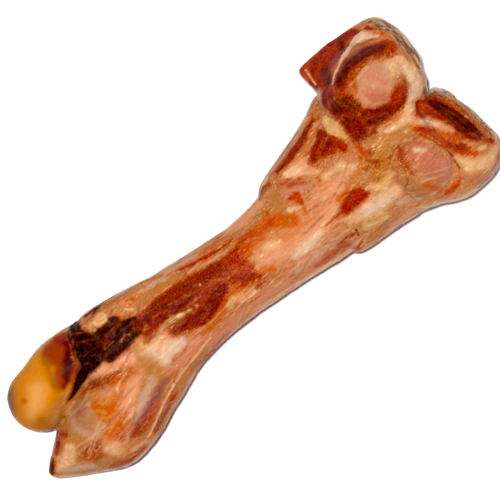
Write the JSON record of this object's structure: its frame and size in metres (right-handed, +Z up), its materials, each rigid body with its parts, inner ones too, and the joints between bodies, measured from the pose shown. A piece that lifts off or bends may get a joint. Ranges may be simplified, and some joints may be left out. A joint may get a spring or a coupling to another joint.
{
  "type": "cured ham bone",
  "caption": "Thigh bone of a cured ham lying on its side, with a round hip ball, a waisted shaft and a broad knee end, still covered in dried lean, fat and gristle.",
  "frame": {"origin": "on the table, under the middle of the part's outline in plan", "axes": "+X from the hip end to the knee end, +Y towards the side of the hip ball, +Z up from the table"},
  "size_m": [0.2298, 0.0864, 0.0556],
  "materials": {
    "cured_meat": "glossy cured meat, fat and cartilage, from dark red lean to cream fat and amber cartilage"
  },
  "bodies": {
    "root": {"ham_bone": "cured_meat"}
  },
  "joints": []
}
